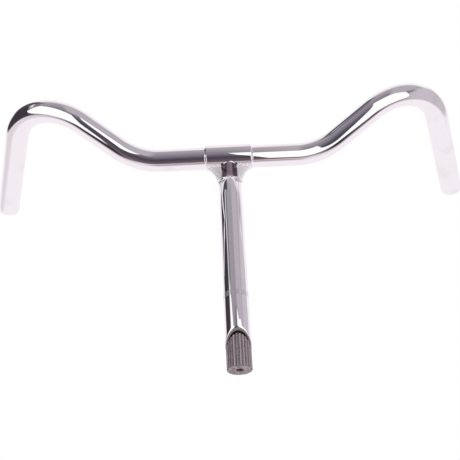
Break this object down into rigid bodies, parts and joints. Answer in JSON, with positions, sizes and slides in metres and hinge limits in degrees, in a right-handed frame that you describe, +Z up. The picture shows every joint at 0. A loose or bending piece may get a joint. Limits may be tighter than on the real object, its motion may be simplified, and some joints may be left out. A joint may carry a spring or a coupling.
{
  "type": "bicycle handlebar with fixed quill stem",
  "caption": "Swept-back city handlebar: a bent chromed tube brazed into a T-shaped stem head on a quill tube, which an expander wedge and its bolt clamp inside a fork.",
  "frame": {"origin": "on the quill's axis, at the lower edge of the stem head, where the full-round quill begins", "axes": "+Z up along the quill, towards the bar; X across the bar; -Y towards the front of the bicycle and +Y towards the rider, where the grips point"},
  "size_m": [0.5186, 0.148, 0.2749],
  "materials": {
    "chromed_tube": "polished nickel-chrome plate",
    "chromed_head": "polished nickel-chrome plate over braze",
    "zinc_plated_steel": "bright zinc plate",
    "bare_wedge_metal": "dull, as cold formed"
  },
  "bodies": {
    "root": {"handlebar_tube": "chromed_tube", "stem_head": "chromed_head", "quill_tube": "chromed_tube", "bolt_washer": "zinc_plated_steel"},
    "bolt": {"expander_bolt": "zinc_plated_steel"},
    "wedge": {"expander_wedge": "bare_wedge_metal"}
  },
  "joints": [
    {"name": "bolt_turn", "type": "hinge", "parent": "root", "child": "bolt", "pos_m": [0, 0, 0.022], "axis": [0, 0, -1], "range_deg": [-2521, 1297]},
    {"name": "wedge_travel", "type": "slide", "parent": "root", "child": "wedge", "axis": [0, 0, 1], "range_m": [-0.00875, 0.0045]}
  ],
  "couplings": [
    {"joint": "bolt_turn", "follows": "wedge_travel", "rad_per_m": 5026.5}
  ]
}
